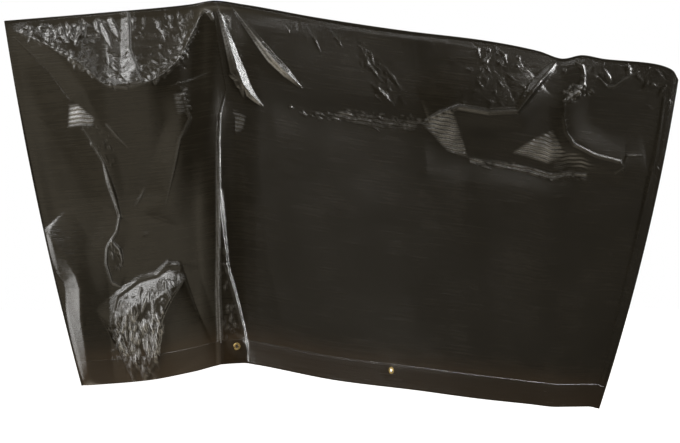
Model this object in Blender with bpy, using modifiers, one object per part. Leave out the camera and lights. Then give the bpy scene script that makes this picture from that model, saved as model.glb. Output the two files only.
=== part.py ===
"""Bicycle cover: a flat tarpaulin bag, open at the bottom, as it hangs over a bicycle.

Two equal side panels are welded face to face along the top edge and both ends, in a narrow flange. A
doubled strip, in two lengths, runs along each lower edge and holds brass eyelets. X runs along the
bicycle, with its front at -X. The near panel is on the -Y side. A place on a panel is given flat, in
metres: along the top edge from the front seam, and down from the top edge. Units are metres, and the
origin is under the middle of the cover's box.
"""
import math

import bpy
import numpy as np
from mathutils import Vector

# Driving sizes of the cut cloth
LENGTH = 2.00            # flat length of a side panel
DEPTH = 0.96             # flat depth of a side panel, with its doubled strip
HEM_DEPTH = 0.06         # height of the doubled strip
CLOTH = 0.0015           # thickness of one sheet
GAP = 0.0004             # between two pieces that lie together
FLANGE = 0.012           # width of the welded flange
SPREAD = 0.030           # beyond the flange, where the two panels come apart

# Eyelets
HOLE_RADIUS = 0.0060     # of the hole cut in the strip
NECK_RADIUS = 0.0057     # outside of the neck through the strip
BORE_RADIUS = 0.00475    # inside of the neck
RIM_RADIUS = 0.0090      # of the two rims
RIM_THICKNESS = 0.0008
RIM_CHAMFER = 0.0003
EYELET_DOWN = 0.915      # centre of the eyelets, down the panel
EYELET_STEPS = 20
CUTTER_LENGTH = 0.020
EYELET_ALONG = {"front": 0.58, "middle": 1.04}

# The near panel swells toward the front quarter, where the turned handlebar pushes it, and the far one away
OUTWARD = np.array([-0.5075, -0.8620, 0.0])
LENGTHWAYS = np.array([0.8620, -0.5075, 0.0])
FRONT_SWAY = -0.013      # how far the front seam bows at half its height
REAR_SWAY = 0.017        # how far the rear seam bows
SWAY_REACH = 0.25        # how far the bow reaches along the panels
SHORT_FOLD = 0.5         # a fold shorter than this fades evenly from its middle

# The top seam, and the lower edges of the two panels as they hang
TOP_EDGE = (
    # along, x, y, z
    (0.00, -0.977, 0.000, 1.040),
    (0.26, -0.726, -0.050, 1.061),
    (0.48, -0.509, -0.105, 1.082),
    (0.55, -0.445, -0.120, 1.092),
    (0.64, -0.357, -0.113, 1.083),
    (0.86, -0.137, -0.095, 1.052),
    (1.14, 0.139, -0.070, 1.020),
    (1.38, 0.374, -0.050, 0.998),
    (1.55, 0.545, -0.035, 0.972),
    (1.62, 0.620, -0.030, 0.953),
    (1.69, 0.681, -0.025, 0.962),
    (1.76, 0.748, -0.020, 0.953),
    (1.91, 0.901, -0.006, 0.942),
    (1.97, 0.963, 0.000, 0.925),
    (2.00, 0.979, 0.000, 0.902),
)
NEAR_EDGE = (
    # along, x, y, z
    (0.00, -0.842, -0.150, 0.138),
    (0.26, -0.714, -0.230, 0.150),
    (0.48, -0.610, -0.310, 0.174),
    (0.55, -0.534, -0.330, 0.192),
    (0.60, -0.478, -0.325, 0.194),
    (0.64, -0.443, -0.310, 0.192),
    (0.86, -0.182, -0.260, 0.150),
    (1.14, 0.109, -0.185, 0.122),
    (1.38, 0.301, -0.130, 0.102),
    (1.62, 0.489, -0.080, 0.086),
    (1.76, 0.591, -0.050, 0.078),
    (1.91, 0.702, -0.015, 0.078),
    (2.00, 0.745, 0.000, 0.072),
)
FAR_EDGE = (
    # along, x, y, z
    (0.00, -0.842, -0.150, 0.138),
    (0.20, -0.735, 0.030, 0.200),
    (0.40, -0.600, 0.175, 0.245),
    (0.55, -0.475, 0.245, 0.255),
    (0.75, -0.290, 0.265, 0.240),
    (1.00, -0.055, 0.215, 0.215),
    (1.30, 0.220, 0.130, 0.190),
    (1.60, 0.470, 0.070, 0.165),
    (1.85, 0.660, 0.030, 0.125),
    (2.00, 0.745, 0.000, 0.072),
)

# How far each panel swells: out at a brow some way down, and out at the middle of its depth
NEAR_SWELL = (
    # along, brow_down, brow_out, middle_out
    (0.00, 0.03, 0.000, 0.000),
    (0.04, 0.035, 0.012, 0.000),
    (0.10, 0.07, 0.040, 0.010),
    (0.18, 0.12, 0.075, 0.025),
    (0.26, 0.19, 0.110, 0.040),
    (0.36, 0.19, 0.115, 0.050),
    (0.45, 0.14, 0.095, 0.055),
    (0.51, 0.07, 0.070, 0.055),
    (0.56, 0.05, 0.065, 0.055),
    (0.64, 0.06, 0.050, 0.045),
    (0.86, 0.10, 0.040, 0.040),
    (1.14, 0.12, 0.035, 0.030),
    (1.38, 0.08, 0.060, 0.030),
    (1.55, 0.07, 0.050, 0.020),
    (1.69, 0.07, 0.030, 0.015),
    (1.91, 0.06, 0.012, 0.006),
    (2.00, 0.05, 0.000, 0.000),
)
FAR_SWELL = (
    # along, brow_down, brow_out, middle_out
    (0.00, 0.03, 0.000, 0.000),
    (0.20, 0.10, 0.030, 0.020),
    (0.40, 0.10, 0.080, 0.050),
    (0.55, 0.09, 0.120, 0.070),
    (0.75, 0.09, 0.095, 0.055),
    (1.00, 0.10, 0.050, 0.045),
    (1.30, 0.08, 0.070, 0.045),
    (1.50, 0.08, 0.060, 0.030),
    (1.75, 0.07, 0.022, 0.018),
    (2.00, 0.05, 0.000, 0.000),
)

# The main folds: a line of (along, down) places, its height (a trough is below zero), and how far it reaches
# to the right and to the left of the line as one walks it with the panel's outside in view
NEAR_FOLDS = (
    # name, height, right, left, line of (along, down)
    ("front_brow", 0.016, 0.10, 0.05,
     ((0.02, 0.04), (0.10, 0.14), (0.15, 0.22), (0.18, 0.31), (0.22, 0.39), (0.25, 0.53))),
    ("front_loop", 0.012, 0.07, 0.06, ((0.25, 0.53), (0.19, 0.62), (0.19, 0.68), (0.23, 0.71))),
    ("bar_cheek", 0.024, 0.07, 0.10, ((0.46, 0.20), (0.48, 0.30), (0.44, 0.40), (0.38, 0.55))),
    ("bar_valley", -0.022, 0.06, 0.03,
     ((0.57, 0.10), (0.59, 0.24), (0.56, 0.38), (0.55, 0.60), (0.55, 0.96))),
    ("pleat", 0.030, 0.04, 0.06, ((0.58, 0.36), (0.58, 0.57), (0.59, 0.75), (0.59, 0.96))),
    ("pleat_hollow", -0.026, 0.06, 0.11, ((0.64, 0.34), (0.68, 0.63), (0.72, 0.79), (0.74, 0.96))),
    ("front_crumple", 0.040, 0.20, 0.06, ((0.15, 0.82), (0.25, 0.77), (0.36, 0.755), (0.46, 0.72))),
    ("front_strip", 0.030, 0.05, 0.10, ((0.02, 0.54), (0.08, 0.69), (0.06, 0.79), (0.04, 0.96))),
    ("middle_band", -0.008, 0.10, 0.06, ((0.72, 0.28), (0.95, 0.25), (1.25, 0.23))),
    ("saddle_ridge", 0.028, 0.10, 0.10,
     ((1.20, 0.23), (1.30, 0.19), (1.50, 0.17), (1.56, 0.10), (1.60, 0.03))),
    ("saddle_trough", -0.012, 0.05, 0.06, ((1.19, 0.34), (1.36, 0.32), (1.73, 0.31))),
    ("rear_ridge", 0.012, 0.05, 0.06,
     ((1.64, 0.12), (1.68, 0.24), (1.77, 0.27), (1.86, 0.29), (1.93, 0.26))),
)
FAR_FOLDS = (
    # name, height, right, left, line of (along, down)
    ("bar_pleat", 0.025, 0.06, 0.08, ((0.52, 0.10), (0.50, 0.50), (0.47, 0.96))),
    ("bar_drag", 0.014, 0.06, 0.08, ((0.62, 0.10), (0.80, 0.36), (0.95, 0.62))),
    ("front_drag", 0.014, 0.07, 0.06, ((0.40, 0.14), (0.25, 0.40), (0.16, 0.70))),
    ("saddle_pleat", 0.016, 0.08, 0.07, ((1.40, 0.09), (1.34, 0.50), (1.30, 0.96))),
    ("rear_drag", -0.010, 0.06, 0.07, ((1.55, 0.10), (1.66, 0.45), (1.70, 0.80))),
    ("middle_drop", -0.014, 0.10, 0.10, ((1.08, 0.20), (1.05, 0.60), (1.02, 0.96))),
)

# Where the mesh has its lines
ALONG_STATIONS = (
    # start, end, count of equal steps
    (0.00, 0.012, 1), (0.012, 0.05, 1), (0.05, 0.08, 1), (0.08, 0.56, 11), (0.56, 0.60, 1), (0.60, 0.68, 2),
    (0.68, 0.80, 2), (0.80, 0.95, 2), (0.95, 1.01, 1), (1.01, 1.07, 1), (1.07, 1.56, 7), (1.56, 1.64, 2),
    (1.64, 1.94, 5), (1.94, 1.988, 1), (1.988, 2.00, 1),
)
DOWN_STATIONS = (
    # start, end, count of equal steps
    (0.00, 0.012, 1), (0.012, 0.05, 1), (0.05, 0.29, 6), (0.29, 0.69, 6), (0.69, DEPTH - HEM_DEPTH, 4),
)
HEM_STATIONS = ((DEPTH - HEM_DEPTH, DEPTH, 2),)
HEM_JOIN = 1.42          # where the rear length of each strip meets the front length

COLLECTION = "bicycle_cover"
CUTTERS = "bicycle_cover_cutters"


def clear_scene():
    """Remove every object of the opened scene."""
    for item in list(bpy.data.objects):
        bpy.data.objects.remove(item, do_unlink=True)


def make_collection(name):
    """A new collection linked to the scene."""
    collection = bpy.data.collections.new(name)
    bpy.context.scene.collection.children.link(collection)
    return collection


def make_material(name, colour, roughness, metallic):
    """A Principled material of one finish."""
    material = bpy.data.materials.new(name)
    material.use_nodes = True
    shader = material.node_tree.nodes["Principled BSDF"]
    shader.inputs["Base Color"].default_value = (*colour, 1.0)
    shader.inputs["Roughness"].default_value = roughness
    shader.inputs["Metallic"].default_value = metallic
    return material


def stations(rows):
    """The places of mesh lines, from rows of start, end and steps."""
    places = [rows[0][0]]
    for start, end, steps in rows:
        places.extend(start + (end - start) * (step + 1) / steps for step in range(steps))
    return np.array(places)


def smooth_column(rows, column, along):
    """One column of a table read between its rows, by a curve that never overshoots them."""
    table = np.array(rows)
    knots = table[:, 0]
    values = table[:, column]
    step = np.diff(knots)
    slope = np.diff(values) / step
    tangent = np.empty(len(knots))
    tangent[0] = slope[0]
    tangent[-1] = slope[-1]
    for index in range(1, len(knots) - 1):
        before, after = slope[index - 1], slope[index]
        if before * after <= 0:
            tangent[index] = 0.0
        else:
            heavy = 2 * step[index] + step[index - 1]
            light = step[index] + 2 * step[index - 1]
            tangent[index] = (heavy + light) / (heavy / before + light / after)
    cell = np.clip(np.searchsorted(knots, along) - 1, 0, len(step) - 1)
    part = (along - knots[cell]) / step[cell]
    rest = 1.0 - part
    return ((1 + 2 * part) * rest**2 * values[cell] + part * rest**2 * step[cell] * tangent[cell]
            + part**2 * (3 - 2 * part) * values[cell + 1] - part**2 * rest * step[cell] * tangent[cell + 1])


def edge_points(rows, along):
    """Points on an edge line."""
    return np.stack([smooth_column(rows, column, along) for column in (1, 2, 3)], axis=-1)


def swell(rows, along, down):
    """How far a panel stands out from the straight line between its top and lower edges."""
    brow_down = smooth_column(rows, 1, along)
    brow_out = smooth_column(rows, 2, along)
    middle_out = smooth_column(rows, 3, along)
    half = DEPTH / 2
    rise = brow_out * down / brow_down
    fall = brow_out + (middle_out - brow_out) * (down - brow_down) / (half - brow_down)
    end = middle_out * (DEPTH - down) / half
    return np.where(down < brow_down, rise, np.where(down < half, fall, end))


def fold_height(fold, along, down):
    """The height of one fold at places on the panel: a tent on both sides of a line, fading at its ends."""
    height, right, left, line = fold[1:]
    lengths = [math.dist(line[index], line[index + 1]) for index in range(len(line) - 1)]
    total = sum(lengths)
    nearest = np.full(along.shape, np.inf)
    result = np.zeros(along.shape)
    walked = 0.0
    for (start, end, length) in zip(line, line[1:], lengths):
        step = (end[0] - start[0], end[1] - start[1])
        offset = (along - start[0], down - start[1])
        part = np.clip((offset[0] * step[0] + offset[1] * step[1]) / length**2, 0.0, 1.0)
        away = np.hypot(offset[0] - part * step[0], offset[1] - part * step[1])
        on_right = step[0] * offset[1] - step[1] * offset[0] > 0
        tent = np.clip(1.0 - away / np.where(on_right, right, left), 0.0, 1.0)
        place = np.clip((walked + part * length) / total, 0.0, 1.0)
        short, long = np.sqrt(np.sin(math.pi * place)), 1.0 - (2 * place - 1) ** 4
        fade = short if total < SHORT_FOLD else long
        closer = away < nearest
        result = np.where(closer, height * tent * fade, result)
        nearest = np.where(closer, away, nearest)
        walked += length
    return result


def free_side(lower_edge, swells, folds, direction, along, down):
    """One side of the cover as if it were free of the flange: its points over a grid of places."""
    top = edge_points(TOP_EDGE, along)
    lower = edge_points(lower_edge, along)
    share = down / DEPTH
    points = top + (lower - top) * share[..., None]
    sway = FRONT_SWAY * np.exp(-along / SWAY_REACH) + REAR_SWAY * np.exp(-(LENGTH - along) / SWAY_REACH)
    points += (4 * share * (1 - share) * sway)[..., None] * LENGTHWAYS
    out = swell(swells, along, down)
    for fold in folds:
        out = out + fold_height(fold, along, down)
    return points + out[..., None] * direction


def both_sides(along_places, down_places):
    """The near and far sides over a grid, brought together in the flange with a small gap between them."""
    down, along = np.meshgrid(down_places, along_places, indexing="ij")
    near = free_side(NEAR_EDGE, NEAR_SWELL, NEAR_FOLDS, OUTWARD, along, down)
    far = free_side(FAR_EDGE, FAR_SWELL, FAR_FOLDS, -OUTWARD, along, down)
    middle = (near + far) / 2
    inside = np.minimum(down, np.minimum(along, LENGTH - along)) - FLANGE
    apart = np.clip(inside / SPREAD, 0.0, 1.0)[..., None]
    across = np.cross(np.gradient(middle, axis=1), np.gradient(middle, axis=0))
    across /= np.linalg.norm(across, axis=-1, keepdims=True)
    across *= np.where(across @ OUTWARD < 0, -1.0, 1.0)[..., None]
    across[:, along_places <= FLANGE] = across[:, :1]
    across[:, along_places >= LENGTH - FLANGE] = across[:, -1:]
    across[down_places <= FLANGE] = across[:1]
    beside = (CLOTH + GAP) / 2 * across
    return middle + apart * (near - far) / 2 + beside, middle - apart * (near - far) / 2 - beside


def sheet_object(name, points, outside_first, material, collection):
    """A grid of points made into a solid sheet, with Solidify on its middle surface.

    Both sides split their cells along the same diagonal, so that they stay parallel in the flange.
    """
    rows, columns = points.shape[:2]
    faces = []
    for row in range(rows - 1):
        for column in range(columns - 1):
            corner = row * columns + column
            below = corner + columns
            faces += [(corner, below, below + 1), (corner, below + 1, corner + 1)]
    if not outside_first:
        faces = [face[::-1] for face in faces]
    mesh = bpy.data.meshes.new(name)
    mesh.from_pydata([tuple(point) for point in points.reshape(-1, 3)], [], faces)
    mesh.materials.append(material)
    mesh.update()
    piece = bpy.data.objects.new(name, mesh)
    collection.objects.link(piece)
    thicken = piece.modifiers.new("thickness", "SOLIDIFY")
    thicken.thickness = CLOTH
    thicken.offset = 0.0
    thicken.use_even_offset = True
    return piece


def lengths_of_strip(points, along_places):
    """The front and rear lengths of a strip, with a small gap between them."""
    join = int(np.argmin(np.abs(along_places - HEM_JOIN)))
    front = points[:, :join + 1].copy()
    rear = points[:, join:].copy()
    for end, beside in ((front[:, -1], front[:, -2]), (rear[:, 0], rear[:, 1])):
        inward = beside - end
        end += inward * (GAP / 2 / np.linalg.norm(inward, axis=-1, keepdims=True))
    return {"front": front, "rear": rear}


def flat_seat(points, along_places, down_places, along):
    """Make the strip's cell that holds an eyelet flat, and give its centre and normal."""
    column = int(np.searchsorted(along_places, along)) - 1
    row = int(np.searchsorted(down_places, EYELET_DOWN)) - 1
    cell = points[row:row + 2, column:column + 2]
    centre = cell.mean(axis=(0, 1))
    normal = np.cross(cell[1, 1] - cell[0, 0], cell[1, 0] - cell[0, 1])
    normal /= np.linalg.norm(normal)
    cell -= ((cell - centre) @ normal)[..., None] * normal
    return Vector(centre), Vector(normal)


def turned_to(piece, centre, normal):
    """Put a piece at a place with its own Z along a direction."""
    piece.location = centre
    piece.rotation_euler = normal.to_track_quat("Z", "Y").to_euler()


def cut_hole(strip, centre, normal, name, cutters):
    """Cut a round hole through the strip."""
    bpy.ops.mesh.primitive_cylinder_add(vertices=EYELET_STEPS, radius=HOLE_RADIUS, depth=CUTTER_LENGTH)
    cutter = bpy.context.object
    cutter.name = name
    for collection in list(cutter.users_collection):
        collection.objects.unlink(cutter)
    cutters.objects.link(cutter)
    cutter.hide_render = True
    cutter.display_type = "WIRE"
    turned_to(cutter, centre, normal)
    cut = strip.modifiers.new(name, "BOOLEAN")
    cut.operation = "DIFFERENCE"
    cut.solver = "EXACT"
    cut.object = cutter


def eyelet_object(name, centre, normal, material, collection):
    """A brass eyelet: a neck through the strip between two rims, turned from its profile."""
    inner = CLOTH / 2 + 0.0003
    outer = inner + RIM_THICKNESS
    edge = RIM_RADIUS - RIM_CHAMFER
    profile = ((BORE_RADIUS, outer), (edge, outer), (RIM_RADIUS, outer - RIM_CHAMFER), (RIM_RADIUS, inner),
               (NECK_RADIUS, inner), (NECK_RADIUS, -inner), (RIM_RADIUS, -inner),
               (RIM_RADIUS, -outer + RIM_CHAMFER), (edge, -outer), (BORE_RADIUS, -outer))
    count = len(profile)
    mesh = bpy.data.meshes.new(name)
    mesh.from_pydata([(radius, 0.0, height) for radius, height in profile],
                     [(index, (index + 1) % count) for index in range(count)], [])
    mesh.materials.append(material)
    piece = bpy.data.objects.new(name, mesh)
    collection.objects.link(piece)
    turn = piece.modifiers.new("turn", "SCREW")
    turn.steps = EYELET_STEPS
    turn.render_steps = EYELET_STEPS
    turn.use_merge_vertices = True
    turn.merge_threshold = 0.00001
    turned_to(piece, centre, normal)
    return piece


def main():
    clear_scene()
    parts = make_collection(COLLECTION)
    cutters = make_collection(CUTTERS)
    tarpaulin = make_material("tarpaulin", (0.026, 0.023, 0.017), 0.38, 0.0)
    doubled = make_material("tarpaulin_hem", (0.040, 0.028, 0.018), 0.42, 0.0)
    brass = make_material("eyelet_brass", (0.55, 0.42, 0.20), 0.35, 1.0)

    along_places = stations(ALONG_STATIONS)
    panel_places = stations(DOWN_STATIONS)
    hem_places = stations(HEM_STATIONS)
    panel_places[-1] -= GAP / 2
    hem_places[0] += GAP / 2
    panels = both_sides(along_places, panel_places)
    hems = both_sides(along_places, hem_places)

    everything = np.concatenate([points.reshape(-1, 3) for points in (*panels, *hems)])
    low, high = everything.min(axis=0), everything.max(axis=0)
    origin = np.array([(low[0] + high[0]) / 2, (low[1] + high[1]) / 2, low[2]])

    sides = (("near", panels[0], hems[0], True), ("far", panels[1], hems[1], False))
    for side, panel, hem, outside_first in sides:
        sheet_object(f"panel_{side}", panel - origin, outside_first, tarpaulin, parts)
        strip_points = hem - origin
        seats = {place: flat_seat(strip_points, along_places, hem_places, along)
                 for place, along in EYELET_ALONG.items()}
        strips = {end: sheet_object(f"hem_{side}_{end}", length, outside_first, doubled, parts)
                  for end, length in lengths_of_strip(strip_points, along_places).items()}
        for place, (centre, normal) in seats.items():
            cut_hole(strips["front"], centre, normal, f"cutter_{side}_{place}", cutters)
            eyelet_object(f"eyelet_{side}_{place}", centre, normal, brass, parts)


main()
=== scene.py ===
"""The look of the bicycle cover: woven polyethylene tarpaulin, creased where it hangs over a handlebar and saddle.

The far side follows the CAD model's tables; the near side's folds were moved closer to the photo, up to 25 mm from
the CAD sheet. Both are read on a finer mesh, with the film's small creases, wrinkles and ribs added. A place on a
panel is given flat: along the top edge from the front seam, and down from the top edge. Places
are in metres, and so is the rest where a comment doesn't say millimetres.
"""
import math
import random
from collections import namedtuple

import bpy
import numpy as np
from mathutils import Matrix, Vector


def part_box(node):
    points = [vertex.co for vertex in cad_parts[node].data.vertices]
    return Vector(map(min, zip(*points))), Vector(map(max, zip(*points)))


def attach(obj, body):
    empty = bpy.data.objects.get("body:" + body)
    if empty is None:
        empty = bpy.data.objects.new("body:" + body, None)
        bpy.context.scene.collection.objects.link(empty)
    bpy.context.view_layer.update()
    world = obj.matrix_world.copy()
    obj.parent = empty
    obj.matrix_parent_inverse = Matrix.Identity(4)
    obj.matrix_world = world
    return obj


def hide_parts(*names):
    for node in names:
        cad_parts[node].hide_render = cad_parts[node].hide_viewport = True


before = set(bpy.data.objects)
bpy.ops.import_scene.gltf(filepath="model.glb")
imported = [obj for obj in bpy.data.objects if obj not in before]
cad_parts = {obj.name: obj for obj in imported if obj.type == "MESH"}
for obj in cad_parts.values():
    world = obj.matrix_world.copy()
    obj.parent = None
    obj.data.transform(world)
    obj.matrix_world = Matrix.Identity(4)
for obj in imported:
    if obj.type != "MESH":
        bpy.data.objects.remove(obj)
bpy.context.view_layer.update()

# The cloth, as in the CAD model
LENGTH = 2.00
DEPTH = 0.96  # with the hem
PANEL_DEPTH = 0.904  # of a panel, which ends 4 mm inside the doubled hem
FLANGE = 0.004  # the part of the weld that lies flat enough to show
SPREAD = 0.018  # the two sides come apart over this distance below it
ORIGIN = np.array([0.00093, -0.03253, 0.07198])  # under the middle of the cover's box
GROUND = -0.072  # the floor that the bicycle would stand on
OUTWARD = np.array([-0.5075, -0.8620, 0.0])
LENGTHWAYS = np.array([0.8620, -0.5075, 0.0])
FRONT_SWAY, REAR_SWAY = -0.013, 0.017  # how far the sheet bows lengthways at each seam
SWAY_REACH = 0.25
SHORT_FOLD = 0.5  # a longer fold fades only near its ends

# How the visible sheets differ from the CAD solids
FILM = 0.0004  # between the two films where they are welded
HEM_THICKNESS = 0.0014
HEM_RIM = 0.012  # over which the doubled strip thins out at its upper edge
HEM_THINNEST = 0.05  # the share of the thickness left there
HOLE_RADIUS, HOLE_SIDES, HOLE_DEPTH = 0.0060, 32, 0.012
SEAT_FLAT, SEAT_END = 0.013, 0.040  # the sheet is flat around an eyelet, and has its own shape from SEAT_END on
SEAT_HEIGHT = 0.05  # sheet farther than this from the eyelet's plane is left alone
BEAD_RADIUS, BEAD_SIDES = 0.0008, 6
BEAD_PLACES = 160  # up each end
BEAD_UV_STEP = 0.001
CREASE_ROUND = 0.0025  # the main folds are rounded over about this distance
CREASE_BELLY = 0.25  # how much fuller than straight the flanks of a small crease are
DETAIL_START, DETAIL_FULL = 0.001, 0.007  # where small creases begin, in from the flange
KNEE_REACH = 0.07  # how far the knees of the swell are rounded down
KNEE_WINDOW = (-0.06, -0.03, 0.0, 0.03, 0.06)  # and along
KNEE_STEPS = 9
KNEE_FADE_ALONG, KNEE_FADE_DOWN = 8, 0.8  # how fast the window's weight falls
CRISP_END, CRISP_FADE = 0.60, 0.05  # up to here along the near panel, the knee under the handlebar stays crisp
SOFT_BEND, HARD_BEND = 60.0, 350.0  # per metre: creases this sharp start to whiten, and are as white as they get; the whitening also stands in for painted highlights
# How far the colour goes to the pale film at the most: crease whitening that also serves as a painted highlight
WHITENING_AND_HIGHLIGHT = 0.48
RIB_PITCH = 0.011
RIB_WAVES = ((0.25, 55), (0.2, 131))  # how the ribs run up and down: share and rate along
RIB_STRAY, RIB_SHIFT = 3, 6  # radians: how far they run, and the most that a wave is shifted
RIB_LEVEL, RIB_CHANGE, RIB_RATES = 0.85, 0.15, (83, 90)  # how their height changes, along and down
PATCH_RIM = 0.010
OVAL_MIDDLE = 1.25  # cut to 1, so that a patch of whitening and painted highlight is even in its middle

# Wrinkles placed at random
LEAN = (0.6, 1.5)  # reach to the right over mean reach, unless the row says otherwise
WRINKLE_PARTS = 3
WRINKLE_TURN = 22  # degrees, the most that one part turns from the last
WRINKLE_TIP, WRINKLE_BACK = 0.3, (0.7, 1.1)  # sizes at both ends, and at the last place but one
RIDGE_SHARE, TROUGH = 0.7, -0.7  # in a row without a lean of its own, the other wrinkles are troughs

# Slow waves of the whole sheet
WAVES = 14
WAVE_HEIGHT = 0.0003
WAVE_LENGTHS = (0.14, 0.50)
WAVE_HEADING = 70  # degrees, the most that one runs off the length
WAVE_STRAY, WAVE_STRAY_LENGTH = 0.04, 0.7

TOP_EDGE = (
    # along, x, y, z
    (0.00, -0.977, 0.000, 1.040),
    (0.26, -0.726, -0.050, 1.061),
    (0.48, -0.509, -0.105, 1.082),
    (0.55, -0.445, -0.120, 1.092),
    (0.64, -0.357, -0.113, 1.083),
    (0.86, -0.137, -0.095, 1.052),
    (1.14, 0.139, -0.070, 1.020),
    (1.38, 0.374, -0.050, 0.998),
    (1.55, 0.545, -0.035, 0.972),
    (1.62, 0.620, -0.030, 0.953),
    (1.69, 0.681, -0.025, 0.962),
    (1.76, 0.748, -0.020, 0.953),
    (1.91, 0.901, -0.006, 0.942),
    (1.97, 0.963, 0.000, 0.925),
    (2.00, 0.979, 0.000, 0.902),
)
NEAR_EDGE = (
    # along, x, y, z
    (0.00, -0.842, -0.150, 0.138),
    (0.26, -0.714, -0.230, 0.150),
    (0.48, -0.610, -0.310, 0.174),
    (0.55, -0.534, -0.330, 0.192),
    (0.60, -0.478, -0.325, 0.194),
    (0.64, -0.441, -0.3165, 0.190),
    (0.86, -0.182, -0.260, 0.150),
    (1.14, 0.109, -0.185, 0.122),
    (1.38, 0.301, -0.130, 0.102),
    (1.62, 0.489, -0.080, 0.086),
    (1.76, 0.591, -0.050, 0.078),
    (1.91, 0.702, -0.015, 0.078),
    (2.00, 0.745, 0.000, 0.072),
)
FAR_EDGE = (
    # along, x, y, z
    (0.00, -0.842, -0.150, 0.138),
    (0.20, -0.735, 0.030, 0.200),
    (0.40, -0.600, 0.175, 0.245),
    (0.55, -0.475, 0.245, 0.255),
    (0.75, -0.290, 0.265, 0.240),
    (1.00, -0.055, 0.215, 0.215),
    (1.30, 0.220, 0.130, 0.190),
    (1.60, 0.470, 0.070, 0.165),
    (1.85, 0.660, 0.030, 0.125),
    (2.00, 0.745, 0.000, 0.072),
)
NEAR_SWELL = (
    # along, brow_down, brow_out, middle_out
    (0.00, 0.03, 0.000, 0.000),
    (0.04, 0.035, 0.012, 0.000),
    (0.10, 0.07, 0.040, 0.010),
    (0.18, 0.12, 0.081, 0.027),
    (0.26, 0.19, 0.105, 0.040),
    (0.36, 0.19, 0.115, 0.050),
    (0.45, 0.14, 0.095, 0.055),
    (0.49, 0.07, 0.072, 0.055),
    (0.52, 0.03, 0.060, 0.054),
    (0.57, 0.03, 0.056, 0.052),
    (0.64, 0.06, 0.051, 0.045),
    (0.86, 0.10, 0.040, 0.040),
    (1.14, 0.12, 0.035, 0.030),
    (1.38, 0.09, 0.046, 0.030),
    (1.53, 0.08, 0.040, 0.021),
    (1.60, 0.07, 0.028, 0.018),
    (1.69, 0.07, 0.026, 0.015),
    (1.91, 0.06, 0.009, 0.005),
    (2.00, 0.05, 0.000, 0.000),
)
FAR_SWELL = (
    # along, brow_down, brow_out, middle_out
    (0.00, 0.03, 0.000, 0.000),
    (0.20, 0.10, 0.030, 0.020),
    (0.40, 0.10, 0.080, 0.050),
    (0.55, 0.09, 0.120, 0.070),
    (0.75, 0.09, 0.095, 0.055),
    (1.00, 0.10, 0.050, 0.045),
    (1.30, 0.08, 0.070, 0.045),
    (1.50, 0.08, 0.060, 0.030),
    (1.75, 0.07, 0.022, 0.018),
    (2.00, 0.05, 0.000, 0.000),
)

# The main folds: height, reach to the right and left of the line, and its places. A soft fold is rounded all over;
# the others keep a crisp ridge
NEAR_FOLDS = (
    # name, height, right, left, soft, line of (along, down)
    ("front_brow", 0.010, 0.10, 0.05, True,
     ((0.02, 0.04), (0.10, 0.14), (0.15, 0.22), (0.18, 0.31), (0.22, 0.39), (0.25, 0.53))),
    ("front_loop", 0.008, 0.07, 0.06, True, ((0.25, 0.53), (0.19, 0.62), (0.19, 0.68), (0.23, 0.71))),
    ("bar_cheek", 0.014, 0.07, 0.10, True, ((0.46, 0.20), (0.48, 0.30), (0.44, 0.40), (0.38, 0.55))),
    ("bar_valley", -0.011, 0.06, 0.10, True,
     ((0.57, 0.10), (0.59, 0.24), (0.57, 0.38), (0.56, 0.60), (0.56, 0.96))),
    ("pleat", 0.011, 0.06, 0.006, False,
     ((0.553, 0.50), (0.555, 0.608), (0.562, 0.71), (0.577, 0.772), (0.592, 0.84), (0.604, 0.89), (0.605, 0.96))),
    ("pleat_hollow", -0.008, 0.004, 0.12, False,
     ((0.552, 0.30), (0.553, 0.48), (0.560, 0.61), (0.568, 0.71), (0.584, 0.772), (0.599, 0.84),
      (0.611, 0.89), (0.612, 0.96))),
    ("front_crumple", 0.031, 0.20, 0.06, False, ((0.15, 0.82), (0.25, 0.77), (0.36, 0.755), (0.46, 0.72))),
    ("front_strip", 0.030, 0.05, 0.10, False,
     ((0.005, 0.55), (0.04, 0.605), (0.075, 0.675), (0.08, 0.71), (0.06, 0.79), (0.04, 0.96))),
    ("middle_band", -0.005, 0.10, 0.06, True, ((0.72, 0.28), (0.95, 0.25), (1.25, 0.23))),
    ("saddle_ridge", 0.015, 0.065, 0.12, True,
     ((1.20, 0.23), (1.30, 0.19), (1.495, 0.17), (1.542, 0.10), (1.556, 0.080))),
    ("saddle_trough", -0.010, 0.07, 0.07, True, ((1.19, 0.34), (1.36, 0.32), (1.73, 0.31))),
    ("rear_ridge", 0.012, 0.06, 0.08, True,
     ((1.64, 0.12), (1.68, 0.24), (1.77, 0.27), (1.86, 0.29), (1.93, 0.26))),
)
FAR_FOLDS = (
    # name, height, right, left, soft, line of (along, down)
    ("bar_pleat", 0.025, 0.06, 0.08, False, ((0.52, 0.10), (0.50, 0.50), (0.47, 0.96))),
    ("bar_drag", 0.014, 0.06, 0.08, True, ((0.62, 0.10), (0.80, 0.36), (0.95, 0.62))),
    ("front_drag", 0.014, 0.07, 0.06, True, ((0.40, 0.14), (0.25, 0.40), (0.16, 0.70))),
    ("saddle_pleat", 0.016, 0.08, 0.07, True, ((1.40, 0.09), (1.34, 0.50), (1.30, 0.96))),
    ("rear_drag", -0.010, 0.06, 0.07, True, ((1.55, 0.10), (1.66, 0.45), (1.70, 0.80))),
    ("middle_drop", -0.014, 0.10, 0.10, True, ((1.08, 0.20), (1.05, 0.60), (1.02, 0.96))),
)

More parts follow.
